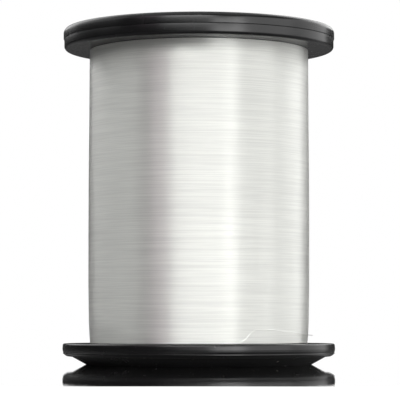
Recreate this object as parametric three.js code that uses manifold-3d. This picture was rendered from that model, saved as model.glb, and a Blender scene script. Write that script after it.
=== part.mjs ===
// A bulk spool of monofilament fishing line, full of line and standing on its lower end.
// Millimetres, +Z up along the spindle axis, with the origin at the middle of the foot.
// The spool is assembled from mouldings: a barrel between two flanges, a cover on the outside of
// each flange, and a sleeve for the spindle right through the middle. The covers nest: the cone under
// the lower cover drops into the cone-shaped recess of the upper cover of the spool below.
import * as THREE from "three";
import { mergeVertices } from "three/addons/utils/BufferGeometryUtils.js";
import Module from "manifold-3d";

const wasm = await Module();
wasm.setup();

// Driving dimensions
const flangeRadius = 38;
const windingWidth = 82.1; // between the inner faces of the flanges
const lowerEndHeight = 5.8; // from the foot to the lower inner face
const upperEndHeight = 6.1; // from the upper inner face to the top land
const windingRadius = 30.9;
const barrelRadius = 21;
const boreRadius = 8; // for the spindle that a stranger's stand or winder has

// Walls
const webThickness = 2; // the disc of each flange
const coverThickness = 1.2;
const rimThickness = 2.2; // the wall of the upper rim
const barrelWall = 1.8;
const sleeveWall = 1.6;
const spigotWall = 1.6;
const outerLayerThickness = 1.2; // the last layers wound on
const labelThickness = 0.2;

// Rims
const upperInnerCorner = 1; // corner radii of the upper rim
const upperOuterCorner = 1.45;
const upperJointHeight = 2.9; // from the inner face to the line where the cover meets the flange
const upperJointStep = 0.2; // how far the flange stands in from the cover at that line
const lowerInnerCorner = 1.2; // corner radii of the lower rim
const lowerOuterCorner = 2.3;

// The cone that nests, and the foot it stands on
const coneHeight = 2.2;
const coneRootRadius = 35.4; // where the cone leaves the underside of the rim
const coneTaper = 4; // how much its radius shrinks down to the foot
const footWidth = 2; // of the flat ring that the spool stands on
const footRecess = 1.4; // from the foot plane up to the panel inside the foot
const footRibs = 12;
const ribLength = 6;
const ribWidth = 1.2;
const ribDrop = 0.9; // how far the ribs stand down from the panel
const hubWidth = 2.7; // the collar round the sleeve
const hubLift = 0.3; // from the foot plane up to the lower end of the collar and sleeve

// Fits
const fitGap = 0.2; // between neighbours that seat on each other
const stackGap = 0.3; // between the cone and the recess of the next spool
const labelLift = 0.05; // the adhesive under a label
const labelMargin = 1.2; // bare panel round the edges of a label

// Inside
const spigotLength = 7; // how far a flange reaches into the barrel
const anchorHeight = 12; // of the hole where the line starts, above the lower inner face
const anchorHoleRadius = 0.8;
const knotRadius = 1.2;

// The line's two ends
const lineRadius = 0.15;
const tailLength = 8;
const tailHeight = 2.3; // above the lower inner face
const tailStart = -2; // degrees round from +X where the tail leaves the winding

// Facets
const outerFacets = 64;
const innerFacets = 48;
const cornerSteps = 4;

// Levels and radii that follow from the sizes above
const lowerFace = lowerEndHeight;
const footRadius = coneRootRadius - coneTaper;
const upperFace = lowerFace + windingWidth;
const spoolHeight = upperFace + upperEndHeight;
const sleeveRadius = boreRadius + sleeveWall;
const hubHoleRadius = sleeveRadius + fitGap;
const hubRadius = hubHoleRadius + hubWidth;
const spigotRadius = barrelRadius - barrelWall - fitGap;
const recessDepth = coneHeight + stackGap;
const recessFloor = spoolHeight - recessDepth;
const recessMouthRadius = coneRootRadius + stackGap;
const recessFloorRadius = footRadius + stackGap;
const upperHubTop = recessFloor + hubLift;

// Materials
const blackPlastic = () =>
  new THREE.MeshStandardMaterial({ color: 0x131314, roughness: 0.3, metalness: 0 });
const innerPlastic = () =>
  new THREE.MeshStandardMaterial({ color: 0x1b1b1c, roughness: 0.5, metalness: 0 });
const clearLine = () =>
  new THREE.MeshStandardMaterial({ color: 0xdcdeda, roughness: 0.3, metalness: 0 });
const blankPaper = () =>
  new THREE.MeshStandardMaterial({ color: 0xeeece6, roughness: 0.8, metalness: 0 });

const point = (radius, height) => new THREE.Vector2(radius, height);

// A quarter round of a profile about (radius, height), from one angle to another in degrees.
function corner(radius, height, size, fromAngle, toAngle) {
  const points = [];
  for (let step = 0; step <= cornerSteps; step++) {
    const angle = THREE.MathUtils.degToRad(fromAngle + ((toAngle - fromAngle) * step) / cornerSteps);
    points.push(point(radius + size * Math.cos(angle), height + size * Math.sin(angle)));
  }
  return points;
}

// A ring from a closed outline of (radius, height) points, listed anticlockwise.
function ring(outline, facets) {
  return new THREE.LatheGeometry([...outline, outline[0].clone()], facets).rotateX(Math.PI / 2);
}

// A plain tube standing on a level.
function tube(innerRadius, outerRadius, bottom, top, facets) {
  const outline = [
    point(innerRadius, bottom),
    point(outerRadius, bottom),
    point(outerRadius, top),
    point(innerRadius, top),
  ];
  return ring(outline, facets);
}

function solid(geometry) {
  const bare = geometry.clone();
  bare.deleteAttribute("normal");
  bare.deleteAttribute("uv");
  const merged = mergeVertices(bare, 1e-3);
  return new wasm.Manifold(
    new wasm.Mesh({
      numProp: 3,
      vertProperties: merged.attributes.position.array,
      triVerts: new Uint32Array(merged.index.array),
    }),
  );
}

function geometryOf(manifold) {
  const mesh = manifold.getMesh();
  const geometry = new THREE.BufferGeometry();
  geometry.setAttribute("position", new THREE.BufferAttribute(mesh.vertProperties, mesh.numProp));
  geometry.setIndex(new THREE.BufferAttribute(mesh.triVerts, 1));
  geometry.computeVertexNormals();
  return geometry;
}

const spool = new THREE.Group();

function add(name, geometry, material) {
  const mesh = new THREE.Mesh(geometry, material);
  mesh.name = name;
  spool.add(mesh);
  return mesh;
}

// The upper flange: a disc with a rounded inner edge, and a spigot that the barrel slides over.
function upperFlange() {
  const rimOutside = flangeRadius - upperJointStep;
  const outline = [
    point(hubHoleRadius, upperFace),
    point(spigotRadius - spigotWall, upperFace),
    point(spigotRadius - spigotWall, upperFace - spigotLength),
    point(spigotRadius, upperFace - spigotLength),
    point(spigotRadius, upperFace),
    ...corner(rimOutside - upperInnerCorner, upperFace + upperInnerCorner, upperInnerCorner, -90, 0),
    point(rimOutside, upperFace + upperJointHeight),
    point(flangeRadius - rimThickness, upperFace + upperJointHeight),
    point(flangeRadius - rimThickness, upperFace + webThickness),
    point(hubHoleRadius, upperFace + webThickness),
  ];
  return ring(outline, outerFacets);
}

// The upper cover: it closes the flange, and its recess takes the cone of the spool above.
function upperCover() {
  const skirt = upperFace + upperJointHeight + fitGap;
  const outline = [
    point(hubHoleRadius, recessFloor - coverThickness),
    point(recessFloorRadius + fitGap, recessFloor - coverThickness),
    point(flangeRadius - rimThickness, spoolHeight - coverThickness),
    point(flangeRadius - rimThickness, skirt),
    point(flangeRadius, skirt),
    ...corner(flangeRadius - upperOuterCorner, spoolHeight - upperOuterCorner, upperOuterCorner, 0, 90),
    point(recessMouthRadius, spoolHeight),
    point(recessFloorRadius, recessFloor),
    point(hubRadius, recessFloor),
    point(hubRadius, upperHubTop),
    point(hubHoleRadius, upperHubTop),
  ];
  return ring(outline, outerFacets);
}

// The lower flange: the bead of its rim hangs below the disc and holds the lower cover.
function lowerFlange() {
  const rimInside = coneRootRadius + fitGap;
  const outline = [
    point(rimInside, coneHeight),
    ...corner(flangeRadius - lowerOuterCorner, coneHeight + lowerOuterCorner, lowerOuterCorner, -90, 0),
    ...corner(flangeRadius - lowerInnerCorner, lowerFace - lowerInnerCorner, lowerInnerCorner, 0, 90),
    point(spigotRadius, lowerFace),
    point(spigotRadius, lowerFace + spigotLength),
    point(spigotRadius - spigotWall, lowerFace + spigotLength),
    point(spigotRadius - spigotWall, lowerFace),
    point(hubHoleRadius, lowerFace),
    point(hubHoleRadius, lowerFace - webThickness),
    point(rimInside, lowerFace - webThickness),
  ];
  return ring(outline, outerFacets);
}

// The lower cover: the cone, the flat foot ring, and a panel stiffened by short ribs.
function lowerCover() {
  const seat = lowerFace - webThickness - fitGap; // just under the disc of the flange
  const panelTop = footRecess + coverThickness;
  const outline = [
    point(footRadius - footWidth, 0),
    point(footRadius, 0),
    point(coneRootRadius, coneHeight),
    point(coneRootRadius, seat),
    point(coneRootRadius - coverThickness, seat),
    point(coneRootRadius - coverThickness, coneHeight + fitGap),
    point(footRadius, panelTop),
    point(hubRadius, panelTop),
    point(hubRadius, seat),
    point(hubHoleRadius, seat),
    point(hubHoleRadius, hubLift),
    point(hubRadius, hubLift),
    point(hubRadius, footRecess),
    point(footRadius - footWidth, footRecess),
  ];
  let cover = solid(ring(outline, outerFacets));
  const sunk = 0.5; // how far each rib's ends run into the foot ring and the panel
  const inner = footRadius - footWidth - ribLength;
  for (let rib = 0; rib < footRibs; rib++) {
    const block = new THREE.BoxGeometry(ribLength + sunk, ribWidth, ribDrop + sunk)
      .translate(inner + (ribLength + sunk) / 2, 0, footRecess - ribDrop + (ribDrop + sunk) / 2)
      .rotateZ((2 * Math.PI * rib) / footRibs);
    cover = cover.add(solid(block));
  }
  return geometryOf(cover);
}

// The barrel: the core that the line is wound on, with the hole where the line starts.
function barrel() {
  const shell = tube(
    barrelRadius - barrelWall,
    barrelRadius,
    lowerFace + fitGap,
    upperFace - fitGap,
    innerFacets,
  );
  const drill = new THREE.CylinderGeometry(anchorHoleRadius, anchorHoleRadius, 3 * barrelWall, 12)
    .rotateZ(Math.PI / 2)
    .translate(barrelRadius - barrelWall / 2, 0, lowerFace + anchorHeight);
  return geometryOf(solid(shell).subtract(solid(drill)));
}

// The start of the line: a knot inside the barrel, and the strand that runs out through its wall.
function lineStart() {
  const knotCentre = barrelRadius - barrelWall - fitGap - knotRadius;
  const strandEnd = barrelRadius + fitGap / 2;
  const outline = [point(0, strandEnd), point(lineRadius, strandEnd)];
  const neck = Math.asin(lineRadius / knotRadius);
  for (let step = 0; step <= 8; step++) {
    const angle = neck + ((Math.PI - neck) * step) / 8;
    const radius = step === 8 ? 0 : knotRadius * Math.sin(angle);
    outline.push(point(radius, knotCentre + knotRadius * Math.cos(angle)));
  }
  const knot = new THREE.LatheGeometry(outline.reverse(), 12);
  return knot.rotateZ(-Math.PI / 2).translate(0, 0, lowerFace + anchorHeight);
}

// The line on the barrel, from the first turn to just under the layers that show.
function linePack() {
  return tube(
    barrelRadius + fitGap,
    windingRadius - outerLayerThickness - fitGap,
    lowerFace + fitGap,
    upperFace - fitGap,
    innerFacets,
  );
}

// The layers that show: a little barrelled, and drawn in where they meet the flanges.
function lineOuterLayer() {
  // how far in the surface lies, at shares of the way up
  const drawnIn = [
    [0, 0.55],
    [0.03, 0.35],
    [0.07, 0.18],
    [0.2, 0.03],
    [0.4, 0],
    [0.6, 0.03],
    [0.75, 0.14],
    [0.93, 0.2],
    [1, 0.25],
  ];
  const bottom = lowerFace + fitGap;
  const span = windingWidth - 2 * fitGap;
  const inside = windingRadius - outerLayerThickness;
  const outline = [point(inside, bottom + span), point(inside, bottom)];
  for (const [share, inset] of drawnIn) {
    outline.push(point(windingRadius - inset, bottom + span * share));
  }
  return ring(outline, outerFacets);
}

// The free end of the line, which springs off the winding along a tangent.
function lineTail() {
  const geometry = new THREE.CylinderGeometry(lineRadius, lineRadius, tailLength, 8);
  geometry.translate(windingRadius + fitGap + lineRadius, tailLength / 2, lowerFace + tailHeight);
  return geometry.rotateZ(THREE.MathUtils.degToRad(tailStart));
}

add("upper_flange", upperFlange(), blackPlastic());
add("upper_cover", upperCover(), blackPlastic());
add("lower_flange", lowerFlange(), blackPlastic());
add("lower_cover", lowerCover(), blackPlastic());
add("barrel", barrel(), innerPlastic());
add(
  "spindle_sleeve",
  tube(boreRadius, sleeveRadius, hubLift, upperHubTop, innerFacets),
  innerPlastic(),
);
add("line_start_knot", lineStart(), clearLine());
add("line_pack", linePack(), clearLine());
add("line_outer_layer", lineOuterLayer(), clearLine());
add("line_tail", lineTail(), clearLine());
add(
  "upper_label",
  tube(
    hubRadius + labelMargin,
    recessFloorRadius - labelMargin,
    recessFloor + labelLift,
    recessFloor + labelLift + labelThickness,
    outerFacets,
  ),
  blankPaper(),
);
add(
  "lower_label",
  tube(
    hubRadius + labelMargin,
    footRadius - footWidth - ribLength - labelMargin,
    footRecess - labelLift - labelThickness,
    footRecess - labelLift,
    innerFacets,
  ),
  blankPaper(),
);

export default spool;
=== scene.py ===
import math
import bpy
import numpy as np
from mathutils import Matrix, Vector


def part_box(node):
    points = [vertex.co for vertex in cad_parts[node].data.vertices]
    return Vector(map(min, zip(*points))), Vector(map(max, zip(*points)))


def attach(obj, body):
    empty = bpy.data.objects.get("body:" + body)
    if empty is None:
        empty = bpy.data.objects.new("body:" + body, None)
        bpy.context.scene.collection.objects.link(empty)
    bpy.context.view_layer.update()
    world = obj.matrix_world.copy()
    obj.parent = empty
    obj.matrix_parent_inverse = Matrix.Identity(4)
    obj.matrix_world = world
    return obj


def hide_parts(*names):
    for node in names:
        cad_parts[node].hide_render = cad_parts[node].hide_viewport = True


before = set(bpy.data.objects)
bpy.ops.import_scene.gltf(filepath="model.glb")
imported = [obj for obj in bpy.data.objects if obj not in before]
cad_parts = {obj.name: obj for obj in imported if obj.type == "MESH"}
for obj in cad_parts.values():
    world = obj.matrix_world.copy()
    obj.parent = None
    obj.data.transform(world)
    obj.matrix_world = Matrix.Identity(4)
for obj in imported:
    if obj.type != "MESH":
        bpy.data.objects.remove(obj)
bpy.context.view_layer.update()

mm = 0.001
print("frame loaded:", len(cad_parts), "nodes")


# Settings that several pieces share, read from the frame so that each piece seats where the model says.
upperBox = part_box("upper_cover")
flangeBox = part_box("upper_flange")
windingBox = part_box("line_outer_layer")
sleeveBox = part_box("spindle_sleeve")
rimRadius = upperBox[1].x
spoolTop = upperBox[1].z
fitGap = 0.2 * mm
collarWall = 2.7 * mm
lowerFace = windingBox[0].z - fitGap
upperFace = windingBox[1].z + fitGap
hubHole = sleeveBox[1].x + fitGap
hubCollar = hubHole + collarWall


class Socket:
    # one output of a shader node, which can be added to, multiplied and fed to other nodes
    def __init__(self, tree, plug=None):
        self.tree = tree
        self.plug = plug

    def make(self, kind, settings=None, inputs=None, output=0):
        node = self.tree.nodes.new("ShaderNode" + kind)
        for name, value in (settings or {}).items():
            setattr(node, name, value)
        for name, value in (inputs or {}).items():
            if isinstance(value, Socket):
                self.tree.links.new(value.plug, node.inputs[name])
            else:
                node.inputs[name].default_value = value
        return Socket(self.tree, node.outputs[output])

    def combine(self, operation, first, second):
        return self.make("Math", {"operation": operation}, {0: first, 1: second})

    def __add__(self, other):
        return self.combine("ADD", self, other)

    def __mul__(self, other):
        return self.combine("MULTIPLY", self, other)

    def __pow__(self, other):
        return self.combine("POWER", self, other)

    def ramp(self, low, high):  # a smooth step from 0 at low to 1 at high
        sockets = {"Value": self, "From Min": low, "From Max": high}
        return self.make("MapRange", {"interpolation_type": "SMOOTHSTEP"}, sockets)

    def tint(self, dark, light):
        # this value as the share of light between dark and light, which are colours or Sockets
        ends = [end if isinstance(end, Socket) else (*end, 1) for end in (dark, light)]
        return self.make("Mix", {"data_type": "RGBA"}, {0: self, 6: ends[0], 7: ends[1]}, output=2)

    def noise(self, scale, stretch=(1, 1, 1), detail=2.0, rough=0.5, shift=(0, 0, 0)):
        place = self.make("TexCoord", output=3)
        place = self.make("Mapping", None, {"Vector": place, "Scale": stretch, "Location": shift})
        sockets = {"Vector": place, "Scale": scale, "Detail": detail, "Roughness": rough}
        return self.make("TexNoise", None, sockets)

    def bump(self, height, strength, distance):
        return self.make("Bump", None, {"Height": height, "Strength": strength, "Distance": distance})


def newFinish(name, fixed, varying):
    # fixed holds plain values for the shader; varying is a function that returns Sockets for it
    material = bpy.data.materials.new(name)
    material.use_nodes = True
    tree = material.node_tree
    shader = tree.nodes["Principled BSDF"]
    for key, value in fixed.items():
        shader.inputs[key].default_value = value
    for key, value in varying(Socket(tree)).items():
        tree.links.new(value.plug, shader.inputs[key])
    return material


# Finishes

blackPlastic = {
    "dark": (0.0018, 0.0018, 0.0020), "light": (0.0048, 0.0048, 0.0050), "dust": (0.24, 0.23, 0.21),
    "glossy": 0.20, "dull": 0.30, "relief": 0.02,
}


def plasticPattern(base):
    cloud = base.noise(60, detail=3, rough=0.55)
    peel = base.noise(900, detail=1)
    mouldRings = base.noise(1, stretch=(9, 9, 2100), detail=2, shift=(1, 2, 0.37))
    handling = base.noise(240, stretch=(1, 1, 0.15), detail=4, rough=0.7)
    rubbed = base.noise(190, stretch=(0.2, 1, 1), detail=4, rough=0.7, shift=(3, 1, 7))
    scuffed = handling.ramp(0.6, 0.74) * 0.6 + rubbed.ramp(0.62, 0.76) * 0.5
    specks = base.noise(3100, detail=0, shift=(5, 2, 1)).ramp(0.83, 0.86)
    nicks = base.noise(1050, stretch=(1, 1, 0.45), detail=0, shift=(8, 3, 4)).ramp(0.875, 0.89)
    shade = (cloud * 0.6 + scuffed * 0.4).tint(blackPlastic["dark"], blackPlastic["light"])
    worn = (specks * 0.12 + nicks * 0.6).tint(shade, blackPlastic["dust"])
    roughness = cloud * (blackPlastic["dull"] - blackPlastic["glossy"]) + blackPlastic["glossy"]
    roughness = roughness + scuffed * 0.12 + specks * 0.2
    relief = peel * 0.4 + mouldRings * 0.9 + scuffed * 0.25 + nicks * 1.2
    normal = base.bump(relief, 0.25, blackPlastic["relief"] * mm)
    return {"Base Color": worn, "Roughness": roughness, "Normal": normal}


corePlastic = {"dark": (0.010, 0.010, 0.011), "light": (0.022, 0.022, 0.023), "glossy": 0.34, "relief": 0.03}


def corePattern(base):
    cloud = base.noise(90, detail=3)
    drawLines = base.noise(1400, stretch=(1, 1, 0.03), detail=2)
    shade = (cloud * 0.5 + drawLines * 0.5).tint(corePlastic["dark"], corePlastic["light"])
    return {
        "Base Color": shade,
        "Roughness": drawLines * 0.2 + corePlastic["glossy"],
        "Normal": base.bump(drawLines, 0.3, corePlastic["relief"] * mm),
    }


clearLine = {"dark": (0.738, 0.743, 0.716), "light": (0.852, 0.858, 0.825), "glossy": 0.276, "dull": 0.304}


def linePattern(base):
    # short streaks along the turns, one or two centimetres long: a lighter one is also a little duller
    strands = base.noise(1, stretch=(48, 48, 4300), detail=2, rough=0.7)
    groups = base.noise(1, stretch=(7, 7, 1100), detail=2, shift=(2, 5, 1))
    drift = base.noise(30, detail=2)
    streaks = (strands * 0.7 + groups * 0.2 + drift * 0.1).ramp(0.37, 0.63)
    shade = streaks.tint(clearLine["dark"], clearLine["light"])
    roughness = streaks * (clearLine["dull"] - clearLine["glossy"]) + clearLine["glossy"]
    return {"Base Color": shade, "Roughness": roughness}


labelPaper = {"dark": (0.52, 0.51, 0.475), "light": (0.66, 0.65, 0.615), "smooth": 0.6, "relief": 0.03}


def paperPattern(base):
    fibres = base.noise(1900, stretch=(1, 0.35, 1), detail=4, rough=0.65)
    cockle = base.noise(45, detail=2)
    stains = base.noise(120, detail=4, rough=0.7)
    shade = (fibres * 0.5 + stains.ramp(0.35, 0.75) * 0.5).tint(labelPaper["dark"], labelPaper["light"])
    relief = fibres * 0.4 + cockle * 3
    return {
        "Base Color": shade,
        "Roughness": fibres * 0.2 + labelPaper["smooth"],
        "Normal": base.bump(relief, 0.35, labelPaper["relief"] * mm),
    }


plasticFinish = newFinish("blackMouldedPlastic", {"IOR": 1.5, "Specular IOR Level": 0.32}, plasticPattern)
coreFinish = newFinish("darkCorePlastic", {"IOR": 1.5}, corePattern)
lineFinish = newFinish("nylonLine", {"IOR": 1.53, "Metallic": 0.82}, linePattern)
paperFinish = newFinish("blankLabelPaper", {"IOR": 1.45}, paperPattern)
print("finishes made")


# Modelling helpers

arcStep = math.radians(11)
weldDistance = 0.001 * mm


def clearSelection():
    if bpy.context.object and bpy.context.object.mode != "OBJECT":
        bpy.ops.object.mode_set(mode="OBJECT")
    bpy.ops.object.select_all(action="DESELECT")


def selectOnly(piece):
    clearSelection()
    piece.select_set(True)
    bpy.context.view_layer.objects.active = piece


def faceOutwards():
    # ends the editing of a mesh
    bpy.ops.mesh.select_all(action="SELECT")
    bpy.ops.mesh.normals_make_consistent(inside=False)
    bpy.ops.object.mode_set(mode="OBJECT")


def softened(corners):
    # corners are (radius, height, rounding); returns the outline with each rounding as an arc
    outline = []
    for index, (radius, height, rounding) in enumerate(corners):
        here = Vector((radius, height))
        if not rounding:
            outline.append(here)
            continue
        before = Vector(corners[index - 1][:2]) - here
        after = Vector(corners[(index + 1) % len(corners)][:2]) - here
        half = before.angle(after) / 2
        reach = rounding / math.tan(half)
        inward = (before.normalized() + after.normalized()).normalized()
        centre = here + inward * (rounding / math.sin(half))
        start = here + before.normalized() * reach - centre
        sweep = start.angle_signed(here + after.normalized() * reach - centre)
        steps = max(3, round(abs(sweep) / arcStep))
        for step in range(steps + 1):
            turn = -sweep * step / steps
            spun = Vector((
                start.x * math.cos(turn) - start.y * math.sin(turn),
                start.x * math.sin(turn) + start.y * math.cos(turn),
            ))
            outline.append(centre + spun)
    return outline


def turned(name, corners, steps=192):
    # the outline is traced by extruding one point, then spun about the spindle axis
    outline = softened([(r * mm, z * mm, c * mm) for r, z, c in corners])
    clearSelection()
    first = outline[0]
    bpy.ops.mesh.primitive_plane_add(size=mm, location=(first.x, 0, first.y))
    piece = bpy.context.object
    piece.name = name
    bpy.ops.object.transform_apply(location=True, rotation=True, scale=True)
    bpy.ops.object.mode_set(mode="EDIT")
    bpy.ops.mesh.select_mode(type="VERT")
    bpy.ops.mesh.select_all(action="SELECT")
    bpy.ops.mesh.merge(type="CENTER")
    for index in range(1, len(outline) + 1):
        step = outline[index % len(outline)] - outline[index - 1]
        bpy.ops.mesh.extrude_region_move(TRANSFORM_OT_translate={"value": (step.x, 0, step.y)})
    bpy.ops.mesh.select_all(action="SELECT")
    bpy.ops.mesh.spin(steps=steps, angle=2 * math.pi, use_auto_merge=True, center=(0, 0, 0), axis=(0, 0, 1))
    bpy.ops.mesh.select_all(action="SELECT")
    bpy.ops.mesh.remove_doubles(threshold=weldDistance)
    faceOutwards()
    return piece


def finishPiece(piece, finish, slot, *nodes, angle=32):
    selectOnly(piece)
    bpy.ops.object.shade_smooth_by_angle(angle=math.radians(angle))
    piece.data.materials.clear()
    piece.data.materials.append(finish)
    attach(piece, "root")
    if nodes:
        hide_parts(*nodes)


def applyModifier(piece, kind, **settings):
    modifier = piece.modifiers.new(kind.title(), kind)
    for key, value in settings.items():
        setattr(modifier, key, value)
    selectOnly(piece)
    bpy.ops.object.modifier_apply(modifier=modifier.name)


# Camera, lamps and floor

eye = {
    # millimetres and degrees
    "distance": 622.5, "height": 12.0, "aside": 0.34, "pitch": 3.123, "roll": -0.03, "fieldOfView": 10.276,
}


def placeCamera():
    data = bpy.data.cameras.new("camera")
    camera = bpy.data.objects.new("camera", data)
    bpy.context.scene.collection.objects.link(camera)
    camera.location = (eye["aside"] * mm, -eye["distance"] * mm, eye["height"] * mm)
    camera.rotation_euler = (math.radians(90 + eye["pitch"]), math.radians(eye["roll"]), 0)
    data.sensor_width = 36
    data.angle = math.radians(eye["fieldOfView"])
    data.clip_start = 0.01
    bpy.context.scene.camera = camera


lamps = {
    # azimuth from the camera towards the right and elevation, in degrees;
    # distance, width and height, in metres; power, in watts
    "frontSoftbox": (-9, 25, 0.8, 0.58, 0.28, 3.9),
    "frontFill": (-43, 30, 0.8, 0.28, 0.40, 0.52),
    "lowStrip": (24, 5, 0.8, 0.36, 0.28, 2.0),
    "lowHalo": (3, 6, 0.8, 0.50, 0.24, 0.3),
    "rightPanel": (56, 10, 0.8, 0.84, 0.62, 4.8),
    "sidePanel": (110, 16, 0.8, 0.72, 0.70, 2.9),
    "backRightPanel": (148, 34, 0.8, 0.45, 0.60, 2.0),
    "backLeftPanel": (-143, 33, 0.8, 0.45, 0.60, 1.8),
    "leftPanel": (-97, 32, 0.8, 0.80, 0.50, 1.62),
    "topPanel": (0, 89, 0.85, 1.20, 1.20, 4.8),
}
lampTints = {"frontFill": (1, 0.80, 0.93), "leftPanel": (0.985, 1, 1)}


def placeLamps():
    target = Vector((0, 0, (lowerFace + upperFace) / 2))
    for name, (azimuth, elevation, distance, width, height, power) in lamps.items():
        data = bpy.data.lights.new(name, "AREA")
        data.shape = "RECTANGLE"
        data.size = width
        data.size_y = height
        data.energy = power
        data.color = lampTints.get(name, (1, 1, 1))
        lamp = bpy.data.objects.new(name, data)
        bpy.context.scene.collection.objects.link(lamp)
        turn = math.radians(azimuth)
        rise = math.radians(elevation)
        away = Vector((math.sin(turn) * math.cos(rise), -math.cos(turn) * math.cos(rise), math.sin(rise)))
        lamp.location = target + away * distance
        lamp.visible_camera = False
        lamp.rotation_euler = away.to_track_quat("Z", "Y").to_euler()


roomLight = 0.06


def makeWorld():
    world = bpy.data.worlds.new("room")
    bpy.context.scene.world = world
    world.use_nodes = True
    tree = world.node_tree
    base = Socket(tree)
    seen = base.make("LightPath", output="Is Camera Ray")
    mirrored = base.make("LightPath", output="Is Singular Ray")
    white = base.combine("MAXIMUM", seen, mirrored)
    strength = white * (1 - roomLight) + roomLight
    background = tree.nodes["Background"]
    background.inputs["Color"].default_value = (1, 1, 1, 1)
    tree.links.new(strength.plug, background.inputs["Strength"])


floorLook = {
    # shade and sheen are how it lights the spool; shown and glow are how it looks to the camera
    "size": 12.0, "shade": 0.18, "sheen": 0.9, "sheenRough": 0.03, "shown": 0.34, "glow": 0.72,
    "mirrorFrom": 0.97066, "mirrorTo": 0.97101, "grain": 0.05, "grainScale": 2400, "relief": 0.02,
}


def grey(level):
    return (level, level, level, 1)


def makeFloor():
    clearSelection()
    bpy.ops.mesh.primitive_plane_add(size=floorLook["size"], location=(0, 0, 0))
    floor = bpy.context.object
    floor.name = "floor"
    material = bpy.data.materials.new("paleFloor")
    material.use_nodes = True
    tree = material.node_tree
    tree.nodes.clear()
    base = Socket(tree)
    seen = base.make("LightPath", output="Is Camera Ray")
    lit = base.make("BsdfDiffuse", None, {"Color": grey(floorLook["shade"])})
    glow = base.make("Emission", None, {"Color": grey(1), "Strength": floorLook["glow"]})
    shown = base.make("BsdfDiffuse", None, {"Color": grey(floorLook["shown"])})
    shown = base.make("AddShader", None, {0: shown, 1: glow})
    facing = base.make("LayerWeight", None, {"Blend": 0.5}, output="Facing")
    glossy = {"Color": grey(floorLook["sheen"]), "Roughness": floorLook["sheenRough"]}
    sheen = base.make("BsdfGlossy", None, glossy)
    lit = base.make("MixShader", None, {0: facing ** 4, 1: lit, 2: sheen})
    matte = base.make("MixShader", None, {0: seen, 1: lit, 2: shown})
    grain = base.noise(floorLook["grainScale"], detail=2)
    ripple = base.bump(grain, floorLook["grain"], floorLook["relief"] * mm)
    mirror = base.make("BsdfGlossy", None, {"Color": grey(1), "Roughness": 0.0, "Normal": ripple})
    grazing = facing.ramp(floorLook["mirrorFrom"], floorLook["mirrorTo"]) * seen
    surface = base.make("MixShader", None, {0: grazing, 1: matte, 2: mirror})
    output = tree.nodes.new("ShaderNodeOutputMaterial")
    tree.links.new(surface.plug, output.inputs["Surface"])
    floor.data.materials.append(material)


placeCamera()
placeLamps()
makeWorld()
makeFloor()
print("camera, lamps and floor placed")

# Rims and covers. Outlines are in millimetres from the spindle axis and from the foot.

rim = rimRadius / mm
flange = flangeBox[1].x / mm
low = lowerFace / mm
high = upperFace / mm
top = spoolTop / mm
hub = hubHole / mm
collar = hubCollar / mm

cone = {"height": 2.2, "root": 35.4, "foot": 31.4}
wall = 1.2
seatGap = 0.2
stackGap = 0.3
recess = {
    "mouth": cone["root"] + stackGap,
    "floor": cone["foot"] + stackGap,
    "depth": cone["height"] + stackGap,
}

upperRim = {
    # lip and skirt are how far above the joint line the flange ends and the cover starts;
    # webRing is the radius of an extra ring of vertices across the wide flat web
    "joint": 2.9, "lip": 0.1, "skirt": 0.12, "jointChamfer": 0.13, "innerRound": 1.0, "outerRound": 1.45,
    "web": 2.0, "webRing": 19.0, "wall": 2.2, "slopeOffset": 0.2, "collar": 0.3, "collarSlope": 0.6,
}


def makeUpperFlange():
    lip = high + upperRim["joint"] + upperRim["lip"]
    inside = rim - upperRim["wall"]
    corners = [
        (hub, high, 0.1),
        (upperRim["webRing"], high, 0),
        (flange, high, upperRim["innerRound"]),
        (flange, lip, 0.04),
        (inside, lip, 0),
        (inside, high + upperRim["web"], 0.2),
        (hub, high + upperRim["web"], 0.1),
    ]
    finishPiece(turned("upperFlange", corners), plasticFinish, "black_plastic", "upper_flange")


def makeUpperCover():
    skirt = high + upperRim["joint"] + upperRim["skirt"]
    inside = rim - upperRim["wall"]
    floor = top - recess["depth"]
    corners = [
        (hub, floor - wall, 0),
        (recess["floor"] + upperRim["slopeOffset"], floor - wall, 0.2),
        (inside, top - wall, 0),
        (inside, skirt, 0),
        (rim, skirt, upperRim["jointChamfer"]),
        (rim, top, upperRim["outerRound"]),
        (recess["mouth"], top, 0.3),
        (recess["floor"], floor, 0.5),
        (collar + upperRim["collarSlope"], floor, 0.2),
        (collar, floor + upperRim["collar"], 0.1),
        (hub, floor + upperRim["collar"], 0.08),
    ]
    finishPiece(turned("upperCover", corners), plasticFinish, "black_plastic", "upper_cover")


lowerRim = {
    "web": 2.0, "edgeDrawnIn": 0.12, "edgeRise": 0.05, "edgeRound": 0.5,
    # the bead from its underside up: how far it is drawn in, its height and its rounding
    "bead": (
        (2.3, 2.2, 0.5), (1.25, 2.32, 0.3), (0.62, 2.68, 0.3), (0.36, 2.97, 0.05), (0.16, 3.03, 0.05),
        (0.16, 3.27, 0.05), (0.24, 3.32, 0.03), (0.06, 3.85, 0.5), (0, 4.4, 0.4), (0.05, 5.0, 0.5),
    ),
}


def makeLowerFlange():
    # a rounded bead whose mould parted at the raised line low on its side
    inside = cone["root"] + seatGap
    bead = [(rim - drawnIn, height, rounding) for drawnIn, height, rounding in lowerRim["bead"]]
    corners = [
        (inside, cone["height"], 0.1),
        *bead,
        (rim - lowerRim["edgeDrawnIn"], low + lowerRim["edgeRise"], lowerRim["edgeRound"]),
        (hub, low, 0.1),
        (hub, low - lowerRim["web"], 0.1),
        (inside, low - lowerRim["web"], 0),
    ]
    finishPiece(turned("lowerFlange", corners), plasticFinish, "black_plastic", "lower_flange")


footing = {"ring": 2.0, "recess": 1.4, "collarLift": 0.3}


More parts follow.
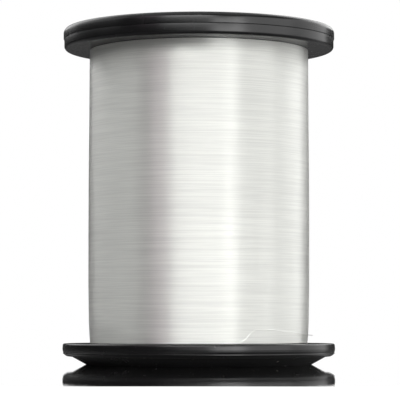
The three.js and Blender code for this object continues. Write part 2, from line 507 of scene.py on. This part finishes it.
def makeLowerCover():
    seat = low - lowerRim["web"] - seatGap
    panelTop = footing["recess"] + wall
    ringInside = cone["foot"] - footing["ring"]
    corners = [
        (ringInside, 0, 0.25),
        (cone["foot"], 0, 0.3),
        (cone["root"], cone["height"], 0.1),
        (cone["root"], seat, 0.1),
        (cone["root"] - wall, seat, 0.1),
        (cone["root"] - wall, cone["height"] + seatGap, 0),
        (cone["foot"], panelTop, 0),
        (collar, panelTop, 0),
        (collar, seat, 0),
        (hub, seat, 0),
        (hub, footing["collarLift"], 0.1),
        (collar, footing["collarLift"], 0.2),
        (collar, footing["recess"], 0.3),
        (ringInside, footing["recess"], 0.3),
    ]
    finishPiece(turned("lowerCover", corners), plasticFinish, "black_plastic", "lower_cover")


makeUpperFlange()
makeUpperCover()
makeLowerFlange()
makeLowerCover()
print("flanges and covers made")

# The line

winding = {
    "thickness": 0.19, "pitch": 0.195, "clear": 0.03, "bands": 5, "sides": 6, "steps": 112, "seed": 11,
    # each wander of the strand: turns from one knot to the next, and millimetres
    "radialDrift": (0.31, 0.002), "radialKinks": (0.055, 0.0095), "axialDrift": (0.43, 0.002),
    # how far the winding is drawn in, by the share of its height from the lower flange
    "drawnIn": (
        (0, 0.55), (0.03, 0.35), (0.07, 0.18), (0.2, 0.03), (0.4, 0),
        (0.6, 0.03), (0.75, 0.14), (0.93, 0.2), (1, 0.25),
    ),
}


def surfaceRadius(share):
    shares, insets = zip(*winding["drawnIn"])
    return windingBox[1].x - np.interp(share, shares, insets) * mm


def smoothRandom(rng, places, wander):
    # a random wander along the strand, smooth from one knot to the next
    spacing, amount = wander
    count = int(places.max() / spacing) + 3
    knots = rng.normal(0, amount * mm, count)
    index = (places / spacing).astype(int)
    share = places / spacing - index
    share = share * share * (3 - 2 * share)
    return knots[index] * (1 - share) + knots[index + 1] * share


def shapeTurns(wrap, firstTurn, bottom, span, radial, axial):
    # brings each ring of vertices to the winding's surface and adds the strand's own wander
    points = np.empty(len(wrap.data.vertices) * 3)
    wrap.data.vertices.foreach_get("co", points)
    points = points.reshape(-1, 3)
    rings = np.arange(len(points)) // winding["sides"] + firstTurn * winding["steps"]
    across = np.hypot(points[:, 0], points[:, 1])
    share = np.clip((points[:, 2] - bottom) / span, 0, 1)
    wanted = across - windingBox[1].x + surfaceRadius(share) + radial[rings]
    points[:, :2] *= (wanted / across)[:, None]
    points[:, 2] += axial[rings]
    wrap.data.vertices.foreach_set("co", points.ravel())


def closeEnds():
    # a band of turns is an open tube until its two ends are filled
    bpy.ops.object.mode_set(mode="EDIT")
    bpy.ops.mesh.select_all(action="DESELECT")
    bpy.ops.mesh.select_non_manifold()
    bpy.ops.mesh.fill_holes(sides=0)
    faceOutwards()


def makeWinding():
    # one strand from flange to flange, cut into bands of turns so that no mesh is too large
    pitch = winding["pitch"] * mm
    radius = winding["thickness"] * mm / 2
    bottom = lowerFace + radius + winding["clear"] * mm
    span = upperFace - lowerFace - 2 * (radius + winding["clear"] * mm)
    turns = int(span / pitch)
    pitch = span / turns
    perBand = math.ceil(turns / winding["bands"])
    rng = np.random.default_rng(winding["seed"])
    total = np.arange(turns * winding["steps"] + 1) / winding["steps"]
    radial = smoothRandom(rng, total, winding["radialDrift"])
    radial = radial + smoothRandom(rng, total, winding["radialKinks"])
    axial = smoothRandom(rng, total, winding["axialDrift"])
    for band in range(winding["bands"]):
        firstTurn = band * perBand
        bandTurns = min(perBand, turns - firstTurn)
        clearSelection()
        middle = windingBox[1].x - radius
        bpy.ops.mesh.primitive_circle_add(
            vertices=winding["sides"], radius=radius, rotation=(math.pi / 2, 0, 0),
            location=(middle, 0, bottom + firstTurn * pitch),
        )
        wrap = bpy.context.object
        wrap.name = "lineTurns" + str(band + 1)
        bpy.ops.object.transform_apply(location=True, rotation=True, scale=True)
        applyModifier(
            wrap, "SCREW", axis="Z", angle=2 * math.pi, screw_offset=pitch, iterations=bandTurns,
            steps=winding["steps"], render_steps=winding["steps"], use_normal_calculate=False,
        )
        shapeTurns(wrap, firstTurn, bottom, span, radial, axial)
        closeEnds()
        bpy.ops.object.shade_smooth()
        wrap.data.materials.append(lineFinish)
        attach(wrap, "root")
        if band == 0:
            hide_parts("line_outer_layer")
    print("winding made:", turns, "turns")


makeWinding()


freeEnd = {
    "thickness": 0.2,
    # the last turn steps up over its neighbours, runs round to the right and springs off:
    # degrees from the front, height above the lower flange and distance off the winding
    "route": (
        (20.5, 0.35, 0.03), (23.5, 0.9, 0.07), (25.5, 2.2, 0.16), (27.5, 3.5, 0.18), (30.0, 4.0, 0.12),
        (36.0, 4.0, 0.09), (46.0, 3.7, 0.09), (58.0, 3.2, 0.09), (68.0, 2.8, 0.12), (76.0, 2.55, 0.22),
        (81.0, 2.45, 0.45), (85.0, 2.4, 0.8), (88.0, 2.35, 1.15),
    ),
}


def makeTail():
    clearSelection()
    bpy.ops.curve.primitive_nurbs_path_add(location=(0, 0, 0))
    tail = bpy.context.object
    tail.name = "lineTailStrand"
    path = tail.data.splines[0]
    path.points.add(len(freeEnd["route"]) - len(path.points))
    for point, (azimuth, lift, proud) in zip(path.points, freeEnd["route"]):
        share = lift * mm / (upperFace - lowerFace)
        radius = surfaceRadius(share) + proud * mm
        turn = math.radians(azimuth)
        point.co = (radius * math.sin(turn), -radius * math.cos(turn), lowerFace + lift * mm, 1)
    path.order_u = 4
    path.resolution_u = 8
    path.use_endpoint_u = True
    tail.data.bevel_depth = freeEnd["thickness"] * mm / 2
    tail.data.bevel_resolution = 3
    tail.data.use_fill_caps = True
    bpy.ops.object.convert(target="MESH")
    tail = bpy.context.object
    bpy.ops.object.mode_set(mode="EDIT")
    faceOutwards()
    finishPiece(tail, lineFinish, "line", "line_tail", angle=50)


makeTail()
print("tail made")

# Inside and underneath

sleeve = {"wall": 1.6, "mouthWidth": 0.45, "mouthDepth": 0.5}


def makeSleeve():
    bottom = sleeveBox[0].z / mm
    end = sleeveBox[1].z / mm
    outside = sleeveBox[1].x / mm
    bore = outside - sleeve["wall"]
    mouth = bore + sleeve["mouthWidth"]
    corners = [
        (bore, bottom + sleeve["mouthDepth"], 0.1),
        (mouth, bottom, 0.08),
        (outside, bottom, 0.15),
        (outside, end, 0.25),
        (mouth, end, 0.08),
        (bore, end - sleeve["mouthDepth"], 0.1),
    ]
    finishPiece(turned("spindleTube", corners, steps=96), coreFinish, "core_plastic", "spindle_sleeve")


rib = {
    "count": 12, "length": 6.0, "width": 1.2, "drop": 0.9, "sunk": 0.3, "edge": 0.16,
    "draft": (0.97, 0.72, 1),
}


def makeFirstRib():
    # a block under the panel, narrowed downwards, with its lower edges rounded
    outer = cone["foot"] - footing["ring"] + rib["sunk"]
    inner = outer - rib["length"]
    roof = footing["recess"] + rib["sunk"]
    depth = rib["drop"] + rib["sunk"]
    centre = ((inner + outer) / 2 * mm, 0, (roof - depth / 2) * mm)
    clearSelection()
    bpy.ops.mesh.primitive_cube_add(size=mm, location=centre)
    first = bpy.context.object
    bpy.ops.object.transform_apply(location=True, rotation=True, scale=True)
    bpy.ops.object.mode_set(mode="EDIT")
    bpy.ops.mesh.select_all(action="SELECT")
    size = (outer - inner, rib["width"], depth)
    bpy.ops.transform.resize(value=size, center_override=centre)
    bpy.ops.mesh.select_all(action="DESELECT")
    bpy.ops.object.mode_set(mode="OBJECT")
    for face in first.data.polygons:
        face.select = face.normal.z < -0.5
    bpy.ops.object.mode_set(mode="EDIT")
    bpy.ops.mesh.select_mode(type="FACE")
    bpy.ops.transform.resize(value=rib["draft"], center_override=centre)
    bpy.ops.mesh.bevel(offset=rib["edge"] * mm, segments=3, affect="EDGES")
    bpy.ops.object.mode_set(mode="OBJECT")
    first.name = "coverRib1"
    return first


def makeRibs():
    # the other ribs are copies of the first, turned about the axis
    first = makeFirstRib()
    copies = [first]
    for index in range(1, rib["count"]):
        selectOnly(first)
        bpy.ops.object.duplicate(linked=False)
        copy = bpy.context.object
        copy.data.transform(Matrix.Rotation(2 * math.pi * index / rib["count"], 4, "Z"))
        copy.name = "coverRib" + str(index + 1)
        copies.append(copy)
    for copy in copies:
        finishPiece(copy, plasticFinish, "black_plastic")


label = {
    # the face's edges are crushed more than the back's; dip and wave are how far the face is off level
    "margin": 1.2, "faceRound": 0.06, "backRound": 0.03, "rings": 12, "steps": 144, "faceDepth": 0.08,
    "waves": 5, "dip": 0.022, "wave": 0.009, "twist": 4, "seeds": {1: 5, -1: 6},
}


def cockle(paper, face, inner, outer, facing):
    # lets the face, at the height given, rise and fall a little round the ring
    rng = np.random.default_rng(label["seeds"][facing])
    waves = []
    for _ in range(label["waves"]):
        waves.append((rng.uniform(1, 4.9) // 1, rng.uniform(0, 6.3), rng.uniform(0.3, 1)))
    for vertex in paper.data.vertices:
        place = vertex.co
        if abs(place.z - face * mm) < label["faceDepth"] * mm:
            around = math.atan2(place.y, place.x)
            share = (math.hypot(place.x, place.y) / mm - inner) / (outer - inner)
            twist = label["twist"] * share
            wave = sum(size * math.sin(count * around + phase + twist) for count, phase, size in waves)
            place.z -= facing * (label["dip"] + label["wave"] * wave) * mm


def makeLabel(name, node, facing):
    # a die-cut ring of paper with its cut edge a little crushed; facing is 1 for up and -1 for down
    lowest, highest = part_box(node)
    outer = highest.x / mm
    inner = collar + label["margin"]
    bottom = (lowest.z / mm, label["backRound"] if facing > 0 else label["faceRound"])
    roof = (highest.z / mm, label["faceRound"] if facing > 0 else label["backRound"])
    corners = [(inner, *bottom), (outer, *bottom), (outer, *roof), (inner, *roof)]
    faceStart = 2 if facing > 0 else 0
    radius, face, _ = corners[faceStart]
    width = corners[faceStart + 1][0] - radius
    rings = [(radius + width * step / label["rings"], face, 0) for step in range(1, label["rings"])]
    corners[faceStart + 1:faceStart + 1] = rings
    paper = turned(name, corners, steps=label["steps"])
    cockle(paper, face, inner, outer, facing)
    finishPiece(paper, paperFinish, "label_paper", node)


makeSleeve()
makeRibs()
makeLabel("upperPaperLabel", "upper_label", 1)
makeLabel("lowerPaperLabel", "lower_label", -1)
print("sleeve, ribs and labels made")


def dress(node, finish):
    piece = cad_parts[node]
    piece.data.materials.clear()
    piece.data.materials.append(finish)


dress("barrel", coreFinish)
dress("line_pack", lineFinish)
dress("line_start_knot", lineFinish)

bpy.context.scene.view_settings.view_transform = "Standard"
